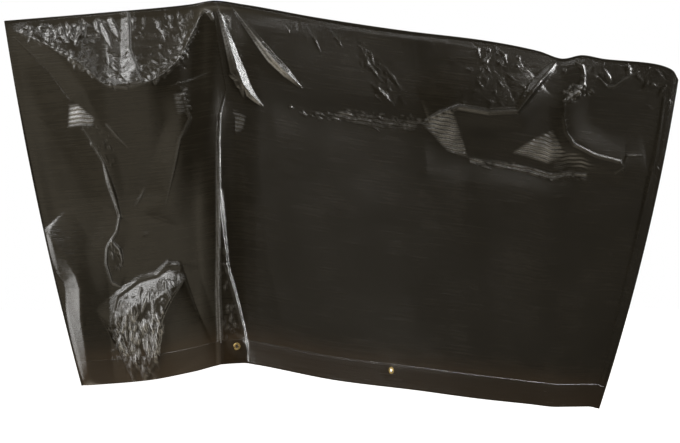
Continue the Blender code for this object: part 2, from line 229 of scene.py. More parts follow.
# Creases, placed one by one: heights and reaches in millimetres. At each place of the line, a size of 1 is the
# full height and both full reaches
NEAR_CREASES = (
    # name, height, right, left, line of (along, down, size)
    ("bar_streak", 13, 6, 29, ((0.557, 0.010, 0.1), (0.572, 0.068, 0.4), (0.585, 0.118, 0.8), (0.60, 0.183, 1.3),
                               (0.615, 0.218, 1.3), (0.65, 0.245, 0.7), (0.687, 0.265, 0.1))),
    ("bar_streak_two", 7.5, 5, 16, ((0.602, 0.012, 0.2), (0.643, 0.058, 0.6), (0.678, 0.097, 1.1),
                                  (0.713, 0.135, 1.4), (0.757, 0.168, 1.2), (0.808, 0.198, 0.1))),
    ("dish_stem", 8, 22, 4, ((0.324, 0.010, 0.8), (0.323, 0.06, 0.9), (0.321, 0.10, 1.0), (0.328, 0.13, 1.4),
                              (0.336, 0.152, 1.8))),
    ("dish_wrinkle_one", 5, 8, 8, ((0.25, 0.018, 0.6), (0.268, 0.06, 1.0), (0.275, 0.09, 0.3))),
    ("dish_wrinkle_two", 5, 7, 7, ((0.28, 0.018, 0.6), (0.292, 0.05, 1.0), (0.296, 0.065, 0.3))),
    ("squiggle", 5, 7, 8, ((0.17, 0.29, 0.2), (0.18, 0.31, 0.35), (0.22, 0.388, 0.5), (0.23, 0.44, 1.3),
                           (0.24, 0.48, 1.3), (0.25, 0.53, 0.7))),
    ("squiggle_branch", 3, 6, 6, ((0.24, 0.29, 0.4), (0.262, 0.315, 1.0), (0.30, 0.36, 0.3))),
    ("squiggle_tail", 3, 5, 7, ((0.30, 0.51, 0.4), (0.325, 0.485, 1.0), (0.34, 0.46, 0.3))),
    ("loop", 4, 5, 6, ((0.25, 0.53, 0.8), (0.235, 0.57, 0.8), (0.195, 0.61, 1.0), (0.185, 0.65, 1.0),
                       (0.195, 0.70, 0.8), (0.23, 0.715, 0.5))),
    ("loop_patch", 7, 16, 10, ((0.215, 0.595, 0.5), (0.235, 0.62, 1.0), (0.24, 0.645, 0.5))),
    ("crumple_edge", 3.5, 8, 14, ((0.17, 0.80, 0.4), (0.21, 0.735, 0.8), (0.29, 0.70, 1.0), (0.36, 0.692, 1.0),
                                 (0.40, 0.672, 1.2), (0.49, 0.692, 0.2))),
    ("crumple_side", 14, 64, 8, ((0.44, 0.725, 0.4), (0.40, 0.758, 1.0), (0.36, 0.808, 1.0), (0.35, 0.86, 0.8),
                                (0.32, 0.912, 0.6), (0.28, 0.946, 0.4))),
    ("pleat_left", 5, 5, 5, ((0.556, 0.30, 0.5), (0.549, 0.376, 1.0), (0.546, 0.496, 1.0), (0.542, 0.634, 0.8),
                             (0.537, 0.77, 1.0), (0.538, 0.88, 1.1), (0.537, 0.96, 1.0))),
    ("pleat_right", 2, 4, 4, ((0.555, 0.60, 0.5), (0.562, 0.71, 0.8), (0.577, 0.772, 1.0), (0.592, 0.84, 1.0),
                              (0.604, 0.89, 1.0), (0.605, 0.96, 1.0))),
    ("cheek", 2, 5, 7, ((0.455, 0.215, 0.5), (0.47, 0.278, 0.8), (0.48, 0.30, 1.0), (0.45, 0.35, 1.0),
                        (0.43, 0.426, 0.8), (0.40, 0.515, 0.5))),
    ("bar_edge", 0.9, 3, 4, ((0.545, 0.022, 0.6), (0.56, 0.128, 0.9), (0.578, 0.233, 1.0), (0.56, 0.288, 1.0),
                             (0.55, 0.32, 0.8))),
    ("front_ridge", 1.5, 6, 8, ((0.02, 0.045, 0.5), (0.10, 0.14, 1.0), (0.15, 0.22, 0.8))),
    ("brow", 1.6, 5, 5, ((0.03, 0.03, 0.8), (0.07, 0.052, 1.0), (0.11, 0.074, 0.8), (0.16, 0.112, 0.6),
                       (0.21, 0.15, 0.6), (0.25, 0.188, 0.8), (0.31, 0.20, 1.2), (0.37, 0.19, 1.0),
                       (0.42, 0.17, 1.1), (0.45, 0.144, 1.5), (0.48, 0.102, 1.6), (0.51, 0.03, 1.2))),
    ("low_edge", 1.6, 4, 4, ((1.34, 0.322, 0.4), (1.44, 0.330, 0.9), (1.54, 0.333, 1.1), (1.64, 0.332, 1.0),
                             (1.74, 0.322, 0.5))),
    ("saddle", 4.5, 8, 9, ((1.19, 0.235, 0.3), (1.24, 0.21, 0.8), (1.30, 0.187, 1.0), (1.40, 0.19, 1.0),
                          (1.495, 0.173, 1.0), (1.517, 0.14, 1.6), (1.54, 0.105, 1.9), (1.563, 0.073, 1.7),
                          (1.582, 0.043, 1.2), (1.597, 0.018, 0.6))),
    ("rear_turn", 2.0, 5, 6, ((1.64, 0.118, 0.4), (1.64, 0.165, 0.9), (1.655, 0.21, 0.9), (1.69, 0.245, 1.0),
                            (1.77, 0.266, 1.0), (1.85, 0.279, 1.0), (1.865, 0.30, 0.6))),
    ("rear_turn_end", 2.0, 5, 6, ((1.84, 0.312, 0.5), (1.865, 0.295, 1.0), (1.87, 0.262, 0.9), (1.92, 0.256, 0.3))),
    ("rear_loop", 3, 4, 9, ((1.665, 0.016, 0.4), (1.69, 0.03, 1.0), (1.70, 0.055, 1.0), (1.70, 0.08, 1.1),
                            (1.68, 0.10, 1.4), (1.645, 0.118, 0.8))),
    ("rear_arc", 3, 5, 6, ((1.75, 0.055, 0.3), (1.78, 0.076, 0.7), (1.80, 0.072, 1.0), (1.83, 0.05, 1.0),
                           (1.87, 0.026, 0.5))),
    ("rear_fleck", 5, 7, 7, ((1.765, 0.03, 0.5), (1.78, 0.05, 1.0), (1.785, 0.062, 0.3))),
    ("rear_nick", 4, 6, 6, ((1.955, 0.05, 0.4), (1.945, 0.07, 1.0), (1.94, 0.085, 0.3))),
    ("bar_fleck", 5, 7, 6, ((0.52, 0.02, 0.3), (0.535, 0.03, 1.0), (0.545, 0.05, 0.5))),
    ("short_drag_one", 2, 6, 5, ((0.76, 0.03, 0.4), (0.77, 0.045, 1.0), (0.775, 0.06, 0.3))),
    ("short_drag_two", 2, 6, 5, ((0.83, 0.02, 0.4), (0.85, 0.06, 1.0), (0.87, 0.10, 0.3))),
    ("short_drag_three", 2, 6, 5, ((0.905, 0.03, 0.4), (0.925, 0.055, 1.0), (0.935, 0.07, 0.3))),
    ("far_drag_one", 1.6, 11, 8, ((0.99, 0.05, 0.3), (1.01, 0.10, 1.0), (1.05, 0.14, 0.3))),
    ("far_drag_two", 2.4, 12, 10, ((1.02, 0.155, 0.3), (1.055, 0.18, 1.2), (1.09, 0.205, 0.3))),
    ("far_drag_three", 1.5, 11, 8, ((1.06, 0.10, 0.3), (1.09, 0.13, 1.0), (1.12, 0.165, 0.3))),
    ("saddle_fleck_one", 2.8, 9, 5, ((1.350, 0.012, 0.6), (1.362, 0.028, 1.0), (1.372, 0.048, 0.5))),
    ("saddle_fleck_two", 3.2, 9, 5, ((1.425, 0.012, 0.6), (1.445, 0.028, 1.0), (1.455, 0.050, 0.5))),
    ("front_fleck", 3, 5, 5, ((0.318, 0.586, 0.5), (0.33, 0.584, 1.0), (0.342, 0.581, 0.5))),
    ("seam_wave", 3, 10, 10, ((1.955, 0.085, 0.5), (1.96, 0.258, 1.0), (1.955, 0.436, 1.0), (1.95, 0.6, 0.6),
                              (1.95, 0.9, 0.5))),
)
FAR_CREASES = (
    # name, height, right, left, line of (along, down, size)
    ("bar_streak", 10, 25, 16, ((0.56, 0.02, 0.2), (0.60, 0.09, 0.8), (0.66, 0.19, 1.0), (0.74, 0.30, 0.1))),
    ("bar_streak_two", 9, 14, 22, ((0.50, 0.02, 0.2), (0.46, 0.10, 0.8), (0.40, 0.20, 1.0), (0.32, 0.32, 0.1))),
    ("bar_streak_three", 7, 14, 14, ((0.53, 0.03, 0.3), (0.53, 0.14, 1.0), (0.52, 0.30, 0.2))),
    ("front_brow", 5, 9, 9, ((0.04, 0.04, 0.5), (0.14, 0.10, 1.0), (0.26, 0.13, 1.0), (0.38, 0.11, 0.8),
                             (0.48, 0.07, 0.4))),
    ("front_dip", -5, 20, 16, ((0.10, 0.20, 0.3), (0.20, 0.42, 1.0), (0.24, 0.66, 0.6), (0.26, 0.86, 0.3))),
    ("pleat_side", 4, 7, 7, ((0.51, 0.34, 0.5), (0.50, 0.55, 1.0), (0.475, 0.80, 1.0), (0.47, 0.96, 0.8))),
    ("pleat_side_two", 3, 6, 6, ((0.56, 0.40, 0.5), (0.55, 0.60, 1.0), (0.54, 0.82, 1.0), (0.53, 0.96, 0.8))),
    ("saddle", 6, 9, 10, ((1.18, 0.20, 0.3), (1.27, 0.14, 1.0), (1.38, 0.12, 1.0), (1.48, 0.13, 0.9),
                          (1.57, 0.08, 0.8), (1.60, 0.03, 0.4))),
    ("saddle_drag", 6, 12, 14, ((1.34, 0.13, 0.4), (1.28, 0.24, 1.0), (1.20, 0.36, 0.2))),
    ("saddle_drag_two", 6, 14, 12, ((1.46, 0.14, 0.4), (1.52, 0.27, 1.0), (1.60, 0.40, 0.2))),
    ("rear_turn", 5, 8, 8, ((1.62, 0.05, 0.4), (1.68, 0.15, 1.0), (1.78, 0.22, 1.0), (1.90, 0.25, 0.4))),
    ("middle_line", 3, 14, 12, ((0.80, 0.20, 0.3), (0.98, 0.25, 1.0), (1.16, 0.24, 0.4))),
    ("low_line", -4, 26, 22, ((1.44, 0.50, 0.3), (1.52, 0.66, 1.0), (1.56, 0.86, 0.8))),
)

# Wrinkles too many to place one by one: how many lie in an area, how long each is, which way it runs (0 is toward
# the rear, 90 is down), and its height and reach; sizes in millimetres
NEAR_WRINKLES = (
    # name, count, corners, length, heading, turn, height, reach
    ("dish_hanging_left", 24, ((0.04, 0.005), (0.30, 0.005), (0.30, 0.045), (0.08, 0.03)),
     (20, 55), 88, 14, (2.0, 4.5), (4, 8)),
    ("dish_hanging_right", 10, ((0.33, 0.005), (0.50, 0.005), (0.46, 0.045), (0.34, 0.05)),
     (15, 45), 88, 16, (1.2, 2.8), (4, 7)),
    ("dish_crumple_left", 90, ((0.02, 0.014), (0.29, 0.014), (0.28, 0.17), (0.24, 0.17), (0.14, 0.085)),
     (8, 26), 70, 70, (1.0, 2.6), (3, 6)),
    ("dish_brow", 60, ((0.04, 0.026), (0.16, 0.09), (0.25, 0.165), (0.31, 0.18), (0.43, 0.155), (0.49, 0.06),
                       (0.505, 0.06), (0.46, 0.15), (0.38, 0.195), (0.29, 0.20), (0.22, 0.165), (0.12, 0.09)),
     (8, 20), 60, 80, (1.2, 2.8), (3, 5)),
    ("dish_crumple_right", 70, ((0.33, 0.02), (0.52, 0.010), (0.50, 0.08), (0.46, 0.14), (0.41, 0.168), (0.34, 0.17)),
     (8, 28), 80, 50, (0.4, 1.1), (3, 6)),
    ("crumple_cells", 46, ((0.20, 0.74), (0.36, 0.705), (0.41, 0.70), (0.36, 0.80), (0.33, 0.92), (0.24, 0.93),
                           (0.18, 0.86)),
     (25, 60), 95, 16, (3.2, 5.6), (6, 7), (1.4, 1.8)),
    ("crumple_core", 20, ((0.22, 0.77), (0.31, 0.77), (0.31, 0.87), (0.22, 0.87)),
     (20, 45), 95, 20, (3.0, 5.4), (5, 7), (1.3, 1.8)),
    ("crumple_upright", 34, ((0.23, 0.725), (0.40, 0.69), (0.43, 0.71), (0.36, 0.80), (0.33, 0.93), (0.22, 0.945),
                             (0.17, 0.88), (0.18, 0.78)),
     (18, 60), 92, 22, (2.0, 4.5), (5, 9)),
    ("crumple_small", 90, ((0.20, 0.74), (0.40, 0.70), (0.42, 0.72), (0.35, 0.80), (0.32, 0.945), (0.20, 0.945),
                           (0.15, 0.86)),
     (8, 22), 60, 80, (1.2, 3.0), (3, 6)),
    ("crumple_left_edge", 22, ((0.15, 0.78), (0.20, 0.77), (0.22, 0.93), (0.15, 0.90)),
     (10, 24), 80, 50, (1.0, 2.6), (3, 6)),
    ("loop_cells", 14, ((0.20, 0.60), (0.24, 0.59), (0.255, 0.64), (0.22, 0.66)),
     (8, 20), 80, 60, (1.5, 3.0), (3, 5)),
    ("cheek_ticks", 14, ((0.44, 0.16), (0.47, 0.16), (0.48, 0.27), (0.45, 0.27)),
     (8, 18), 10, 20, (0.8, 1.8), (3, 4)),
    ("squiggle_small", 26, ((0.15, 0.28), (0.21, 0.28), (0.26, 0.34), (0.25, 0.40), (0.20, 0.36)),
     (8, 20), 60, 70, (0.8, 1.8), (3, 5)),
    ("band", 20, ((0.74, 0.262), (0.95, 0.235), (1.20, 0.222), (1.20, 0.262), (0.95, 0.275)),
     (14, 40), 3, 10, (0.6, 1.4), (3, 5)),
    ("saddle_top", 14, ((1.34, 0.006), (1.53, 0.006), (1.53, 0.05), (1.36, 0.07)),
     (10, 34), 85, 35, (1.4, 3.2), (4, 7)),
    ("saddle_flank", 22, ((1.30, 0.07), (1.50, 0.06), (1.54, 0.11), (1.48, 0.16), (1.32, 0.17)),
     (12, 40), 60, 70, (0.6, 1.6), (5, 9)),
    ("low_line", 26, ((1.34, 0.322), (1.54, 0.315), (1.74, 0.316), (1.74, 0.336), (1.54, 0.34), (1.34, 0.345)),
     (16, 44), 2, 6, (0.6, 1.3), (3, 5)),
    ("rear_cluster", 44, ((1.625, 0.085), (1.70, 0.07), (1.74, 0.085), (1.68, 0.115), (1.63, 0.12)),
     (8, 20), 70, 70, (1.2, 3.2), (3, 6)),
    ("rear_top", 18, ((1.62, 0.006), (1.95, 0.006), (1.95, 0.05), (1.64, 0.06)),
     (10, 32), 80, 40, (0.8, 2.6), (4, 7)),
    ("top_middle", 24, ((0.66, 0.006), (1.30, 0.006), (1.30, 0.06), (0.72, 0.06)),
     (14, 50), 70, 30, (0.2, 0.6), (5, 9)),
    ("pleat_face", 30, ((0.547, 0.62), (0.562, 0.62), (0.583, 0.90), (0.545, 0.90)),
     (10, 30), 85, 40, (0.8, 2.0), (3, 5)),
    ("front_panel", 30, ((0.26, 0.26), (0.42, 0.26), (0.40, 0.66), (0.28, 0.66)),
     (20, 60), 60, 80, (0.2, 0.5), (6, 12)),
    ("front_end", 20, ((0.02, 0.20), (0.14, 0.24), (0.18, 0.60), (0.12, 0.94), (0.03, 0.94)),
     (20, 60), 60, 80, (0.2, 0.5), (6, 12)),
    ("rear_panel", 14, ((0.80, 0.36), (1.90, 0.36), (1.90, 0.88), (0.80, 0.88)),
     (40, 120), 70, 80, (0.2, 0.5), (12, 24)),
    ("rear_seam", 12, ((1.90, 0.06), (1.975, 0.06), (1.975, 0.90), (1.92, 0.90)),
     (10, 30), 0, 30, (0.8, 2.2), (4, 8)),
    ("dish_rim_right", 50, ((0.47, 0.02), (0.52, 0.012), (0.505, 0.06), (0.48, 0.11), (0.45, 0.145), (0.42, 0.17),
                            (0.39, 0.155), (0.43, 0.12), (0.45, 0.07)),
     (8, 18), 100, 60, (0.5, 1.4), (3, 5)),
    ("streak_marks", 46, ((0.562, 0.03), (0.575, 0.03), (0.62, 0.118), (0.640, 0.17), (0.665, 0.225), (0.680, 0.258),
                          (0.650, 0.245), (0.622, 0.215), (0.605, 0.18), (0.590, 0.118)),
     (6, 18), 75, 30, (0.3, 0.9), (2, 4)),
    ("drag_marks", 44, ((0.97, 0.03), (1.01, 0.05), (1.06, 0.11), (1.13, 0.17), (1.10, 0.21), (1.02, 0.18),
                        (0.98, 0.10)),
     (8, 26), 60, 35, (0.6, 1.7), (3, 6)),
    ("band_ticks", 60, ((0.76, 0.255), (0.96, 0.232), (1.18, 0.226), (1.18, 0.252), (0.96, 0.268), (0.78, 0.272)),
     (8, 20), 0, 14, (0.8, 1.8), (2, 4)),
    ("stem_marks", 34, ((0.305, 0.03), (0.325, 0.03), (0.34, 0.16), (0.27, 0.18)),
     (6, 16), 80, 70, (0.5, 1.3), (2, 4)),
    ("streak_two_marks", 36, ((0.605, 0.02), (0.66, 0.045), (0.70, 0.085), (0.735, 0.120), (0.775, 0.160),
                              (0.805, 0.195), (0.757, 0.170), (0.713, 0.138), (0.678, 0.10), (0.643, 0.06)),
     (6, 16), 45, 35, (0.4, 1.1), (2, 4)),
    ("pleat_patch", 22, ((0.558, 0.80), (0.578, 0.80), (0.588, 0.865), (0.560, 0.875)),
     (6, 14), 80, 60, (1.0, 2.4), (3, 5)),
)
FAR_WRINKLES = (
    # name, count, corners, length, heading, turn, height, reach
    ("top_front", 46, ((0.06, 0.016), (0.50, 0.016), (0.46, 0.09), (0.12, 0.07)),
     (14, 50), 85, 30, (1.2, 4.0), (4, 8)),
    ("top_middle", 24, ((0.60, 0.016), (1.25, 0.016), (1.25, 0.06), (0.66, 0.06)),
     (14, 50), 75, 30, (0.8, 2.2), (5, 9)),
    ("top_rear", 50, ((1.28, 0.016), (1.95, 0.016), (1.90, 0.08), (1.30, 0.10)),
     (12, 45), 85, 40, (1.0, 3.4), (4, 8)),
    ("bar_cluster", 40, ((0.40, 0.08), (0.62, 0.06), (0.66, 0.16), (0.46, 0.20)),
     (10, 34), 70, 70, (1.0, 3.0), (4, 8)),
    ("saddle_cluster", 34, ((1.24, 0.12), (1.54, 0.10), (1.54, 0.18), (1.26, 0.20)),
     (10, 34), 60, 80, (0.8, 2.6), (4, 8)),
    ("panel", 70, ((0.10, 0.30), (1.90, 0.30), (1.90, 0.88), (0.14, 0.88)),
     (40, 130), 75, 70, (0.6, 1.6), (10, 24)),
    ("pleat_foot", 30, ((0.42, 0.70), (0.58, 0.70), (0.58, 0.93), (0.42, 0.93)),
     (12, 40), 88, 30, (1.0, 3.0), (5, 9)),
)

# Patches where the woven ribs of the film stand out: their height in millimetres, and the corners, clockwise
NEAR_RIBS = (
    # name, height, corners of (along, down)
    ("squiggle", 1.3, ((0.138, 0.226), (0.168, 0.228), (0.214, 0.270), (0.206, 0.297), (0.126, 0.293))),
    ("squiggle_low", 1.0, ((0.222, 0.40), (0.250, 0.395), (0.264, 0.50), (0.232, 0.51))),
    ("cheek", 1.1, ((0.430, 0.225), (0.465, 0.225), (0.470, 0.285), (0.440, 0.290))),
    ("bar", 1.3, ((0.592, 0.280), (0.640, 0.298), (0.628, 0.340), (0.583, 0.360))),
    ("band", 0.8, ((0.78, 0.25), (0.98, 0.236), (1.18, 0.232), (1.16, 0.268), (0.98, 0.274))),
    ("saddle_left", 1.3, ((1.165, 0.240), (1.285, 0.190), (1.345, 0.325), (1.262, 0.312))),
    ("saddle_right", 1.3, ((1.475, 0.292), (1.608, 0.195), (1.662, 0.265), (1.60, 0.300))),
    ("low_line", 1.4, ((1.34, 0.317), (1.75, 0.313), (1.75, 0.333), (1.34, 0.337))),
    ("rear_under", 0.6, ((1.62, 0.262), (1.70, 0.262), (1.80, 0.298), (1.70, 0.318), (1.61, 0.312))),
)

# Where the film is crushed, and where its whitening is raised into a painted highlight or lowered: the middle and
# half sizes of each patch, and how much more it whitens, or less
NEAR_SCUFFS_AND_HIGHLIGHTS = (
    # name, along, down, half_along, half_down, turn_degrees, more
    ("crumple", 0.27, 0.845, 0.11, 0.11, -20, 3.0),
    ("loop", 0.225, 0.625, 0.03, 0.04, 0, 1.5),
    ("squiggle", 0.175, 0.256, 0.040, 0.034, 5, 2.0),
    ("streak_foot", 0.602, 0.205, 0.04, 0.09, -25, -0.95),
    ("streak_face", 0.645, 0.175, 0.022, 0.085, -22, 4.0),
    ("streak_two", 0.715, 0.13, 0.06, 0.06, 0, 3.0),
    ("saddle_left", 1.262, 0.265, 0.078, 0.042, 58, 1.0),
    ("saddle_right", 1.570, 0.268, 0.068, 0.036, -12, 1.0),
    ("cluster", 1.68, 0.10, 0.06, 0.03, 0, 1.5),
)

# Where the meshes have their lines: start, end, count of equal steps. The near panel is two pieces, parted beside
# the pleat below the handlebar; its mesh is finer up to where the handlebar's creases end
NEAR_PARTING = 0.60
NEAR_COLUMNS = ((0.00, 0.005, 2), (0.005, NEAR_PARTING, 264), (NEAR_PARTING, 0.82, 80), (0.82, 1.995, 290),
                (1.995, LENGTH, 2))
NEAR_FRONT_ROWS = ((0.00, 0.005, 2), (0.005, 0.20, 98), (0.20, 0.30, 62), (0.30, 0.69, 98), (0.69, PANEL_DEPTH, 92))
NEAR_REAR_ROWS = ((0.00, 0.005, 2), (0.005, 0.20, 84), (0.20, 0.345, 92), (0.345, PANEL_DEPTH, 74))
FAR_COLUMNS = ((0.00, 0.005, 2), (0.005, 0.70, 112), (0.70, 1.24, 60), (1.24, 1.995, 112), (1.995, LENGTH, 2))
FAR_ROWS = ((0.00, 0.005, 2), (0.005, 0.34, 58), (0.34, PANEL_DEPTH, 76))
HEM_COLUMNS = ((0.00, 0.005, 2), (0.005, 0.70, 140), (0.70, 1.995, 170), (1.995, LENGTH, 2))
HEM_ROWS = ((0.8975, 0.9025, 3), (0.9025, DEPTH, 12))


def eased(share):
    """A share from 0 to 1 that starts and ends gently."""
    return share * share * (3 - 2 * share)


def unit(vectors):
    """The same directions, each of length 1."""
    return vectors / np.linalg.norm(vectors, axis=-1, keepdims=True)


def stations(rows):
    """The places of mesh lines, from rows of start, end and steps."""
    places = [rows[0][0]]
    for start, end, steps in rows:
        places.extend(start + (end - start) * (step + 1) / steps for step in range(steps))
    return np.array(places)


def grid(places):
    """Along and down at each place of a mesh, from its lines."""
    down, along = np.meshgrid(places[1], places[0], indexing="ij")
    return along, down


def smooth_column(rows, column, along):
    """One column of a table read between its rows, by a curve that never overshoots them."""
    table = np.array(rows)
    knots, values = table[:, 0], table[:, column]
    step = np.diff(knots)
    slope = np.diff(values) / step
    tangent = [slope[0]]
    for before, after, last, following in zip(slope, slope[1:], step, step[1:]):
        heavy, light = 2 * following + last, following + 2 * last
        tangent.append((heavy + light) / (heavy / before + light / after) if before * after > 0 else 0.0)
    tangent = np.array([*tangent, slope[-1]])
    cell = np.clip(np.searchsorted(knots, along) - 1, 0, len(step) - 1)
    part = (along - knots[cell]) / step[cell]
    rest = 1.0 - part
    return ((1 + 2 * part) * rest**2 * values[cell] + part * rest**2 * step[cell] * tangent[cell]
            + part**2 * (3 - 2 * part) * values[cell + 1] - part**2 * rest * step[cell] * tangent[cell + 1])


def edge_points(rows, along):
    """Points on an edge line."""
    return np.stack([smooth_column(rows, column, along) for column in (1, 2, 3)], axis=-1)


def swell(rows, along, down):
    """How far a panel stands out from the straight line between its top and lower edges."""
    brow_down, brow_out, middle_out = (smooth_column(rows, column, along) for column in (1, 2, 3))
    half = DEPTH / 2
    rise = brow_out * down / brow_down
    fall = brow_out + (middle_out - brow_out) * (down - brow_down) / (half - brow_down)
    end = middle_out * (DEPTH - down) / half
    return np.where(down < brow_down, rise, np.where(down < half, fall, end))


def soft_swell(rows, along, down):
    """The same with its knees rounded: the mean over a window of places."""
    total = np.zeros(along.shape)
    weights = 0.0
    for across in KNEE_WINDOW:
        for below in np.linspace(-1.0, 1.0, KNEE_STEPS):
            weight = (1.0 - abs(below) * KNEE_FADE_DOWN) * (1.0 - abs(across) * KNEE_FADE_ALONG)
            place = np.clip(along + across, 0.0, LENGTH)
            reach = np.minimum(KNEE_REACH, down)
            total += weight * swell(rows, place, np.clip(down + below * reach, 0.0, DEPTH))
            weights += weight
    return total / weights


def beside_part(start, end, along, down):
    """The share passed of one straight part of a line, the distance from it, and whether that is on its right."""
    step = (end[0] - start[0], end[1] - start[1])
    offset = (along - start[0], down - start[1])
    part = np.clip((offset[0] * step[0] + offset[1] * step[1]) / math.hypot(*step)**2, 0.0, 1.0)
    away = np.hypot(offset[0] - part * step[0], offset[1] - part * step[1])
    return part, away, step[0] * offset[1] - step[1] * offset[0] > 0


def fold_height(fold, along, down):
    """The height of one main fold: a tent on both sides of a line, a little rounded, fading at its ends."""
    height, right, left = fold[1:4]
    is_soft, line = fold[4:]
    lengths = [math.dist(start, end) for start, end in zip(line, line[1:])]
    total = sum(lengths)
    nearest = np.full(along.shape, np.inf)
    result = np.zeros(along.shape)
    walked = 0.0
    for start, end, length in zip(line, line[1:], lengths):
        part, away, on_right = beside_part(start, end, along, down)
        rounded = np.hypot(away, CREASE_ROUND) - CREASE_ROUND
        tent = np.clip(1.0 - rounded / np.where(on_right, right, left), 0.0, 1.0)
        if is_soft:
            tent = eased(tent)
        place = np.clip((walked + part * length) / total, 0.0, 1.0)
        fade = np.sqrt(np.sin(math.pi * place)) if total < SHORT_FOLD else 1.0 - (2 * place - 1) ** 4
        closer = away < nearest
        result = np.where(closer, height * tent * fade, result)
        nearest = np.where(closer, away, nearest)
        walked += length
    return result


def free_side(lower_edge, swells, folds, direction, along, down):
    """One side of the cover as if it were free of the flange: its points over a grid of places."""
    top = edge_points(TOP_EDGE, along)
    lower = edge_points(lower_edge, along)
    share = down / DEPTH
    points = top + (lower - top) * share[..., None]
    sway = FRONT_SWAY * np.exp(-along / SWAY_REACH) + REAR_SWAY * np.exp(-(LENGTH - along) / SWAY_REACH)
    points += (4 * share * (1 - share) * sway)[..., None] * LENGTHWAYS
    crisp = np.clip((CRISP_END - along) / CRISP_FADE, 0.0, 1.0) if swells is NEAR_SWELL else 0.0
    out = crisp * swell(swells, along, down) + (1.0 - crisp) * soft_swell(swells, along, down)
    for fold in folds:
        out = out + fold_height(fold, along, down)
    return points + out[..., None] * direction


def normals_of(points, outward):
    """Unit normals over a grid of points, pointing to the side of a direction."""
    normals = unit(np.cross(np.gradient(points, axis=1), np.gradient(points, axis=0)))
    return normals * np.where(normals @ outward < 0, -1.0, 1.0)[..., None]


def both_sides(places):
    """The near and far sides over a grid, brought together in the flange with a small gap between them."""
    along, down = grid(places)
    near = free_side(NEAR_EDGE, NEAR_SWELL, NEAR_FOLDS, OUTWARD, along, down)
    far = free_side(FAR_EDGE, FAR_SWELL, FAR_FOLDS, -OUTWARD, along, down)
    middle = (near + far) / 2
    inside = np.minimum(down, np.minimum(along, LENGTH - along)) - FLANGE
    apart = np.clip(inside / SPREAD, 0.0, 1.0)[..., None]
    apart = 1.0 - (1.0 - apart) ** 2
    across = normals_of(middle, OUTWARD)
    across[:, places[0] <= FLANGE] = across[:, :1]
    across[:, places[0] >= LENGTH - FLANGE] = across[:, -1:]
    across[places[1] <= FLANGE] = across[:1]
    beside = FILM / 2 * across
    return (middle + apart * (near - far) / 2 + beside - ORIGIN,
            middle - apart * (near - far) / 2 - beside - ORIGIN)


def add_crease(field, places, height, right, left, line):
    """Add one crease to a field of heights: a ridge or trough whose width and height follow its size."""
    alongs, downs, sizes = zip(*line)
    widest = max(right, left) * max(sizes)
    spans = [slice(*np.searchsorted(lines, (min(spots) - widest, max(spots) + widest)))
             for lines, spots in zip(places, (alongs, downs))]
    if any(span.start == span.stop for span in spans):
        return
    along, down = grid([lines[span] for lines, span in zip(places, spans)])
    best = np.zeros(along.shape)
    for start, end in zip(line, line[1:]):
        part, away, on_right = beside_part(start, end, along, down)
        size = start[2] + (end[2] - start[2]) * part
        share = np.clip(1.0 - away / (np.where(on_right, right, left) * size), 0.0, 1.0)
        best = np.maximum(best, size * (share * (1.0 + CREASE_BELLY * share * (1.0 - share))))
    field[spans[1], spans[0]] += height * best


def inside_area(point, corners):
    """Whether a place lies in an area given by its corners."""
    found = False
    for first, second in zip(corners, corners[1:] + corners[:1]):
        if (first[1] > point[1]) != (second[1] > point[1]):
            crossing = first[0] + (second[0] - first[0]) * (point[1] - first[1]) / (second[1] - first[1])
            if point[0] < crossing:
                found = not found
    return found


def wrinkle_lines(row, pick):
    """The creases of one row of a wrinkle table."""
    count, corners, lengths, heading_down, turn, heights, reaches = row[1:8]
    leans = row[8] if len(row) > 8 else LEAN
    made = []
    while len(made) < count:
        place = tuple(pick.uniform(min(spots), max(spots)) for spots in zip(*corners))
        if not inside_area(place, corners):
            continue
        length = pick.uniform(*lengths) / 1000
        angle = math.radians(heading_down + pick.uniform(-turn, turn))
        walk = [place]
        for _ in range(WRINKLE_PARTS):
            angle += math.radians(pick.uniform(-WRINKLE_TURN, WRINKLE_TURN))
            last = walk[-1]
            walk.append((last[0] + math.cos(angle) * length / WRINKLE_PARTS,
                         last[1] + math.sin(angle) * length / WRINKLE_PARTS))
        sizes = (WRINKLE_TIP, 1.0, pick.uniform(*WRINKLE_BACK), WRINKLE_TIP)
        height = pick.uniform(*heights) / 1000
        if pick.random() >= RIDGE_SHARE and leans is LEAN:
            height *= TROUGH
        reach = pick.uniform(*reaches) / 1000
        lean = pick.uniform(*leans)
        made.append((height, reach * lean, reach / lean, [(*spot, size) for spot, size in zip(walk, sizes)]))
    return made


def patch(corners, along, down):
    """A patch with straight sides: 1 inside, easing to 0 at its rim. Its corners go round clockwise."""
    result = np.ones(along.shape)
    for first, second in zip(corners, corners[1:] + corners[:1]):
        step = (second[0] - first[0], second[1] - first[1])
        inward = (step[0] * (down - first[1]) - step[1] * (along - first[0])) / math.hypot(*step)
        result = np.minimum(result, np.clip(inward / PATCH_RIM, 0.0, 1.0))
    return result


def rib_height(rows, along, down, pick):
    """Ribs across the warp, in patches with soft rims."""
    result = np.zeros(along.shape)
    for _, height, corners in rows:
        soft = patch(corners, along, down)
        wobble = sum(share * np.sin(along * rate + pick.uniform(0, RIB_SHIFT)) for share, rate in RIB_WAVES)
        ribs = np.sin(2 * math.pi * down / RIB_PITCH + wobble * RIB_STRAY)
        change = np.sin(along * RIB_RATES[0] + down * RIB_RATES[1] + pick.uniform(0, RIB_SHIFT))
        uneven = RIB_LEVEL + RIB_CHANGE * change
        result += height / 1000 * soft * ribs * uneven
    return result


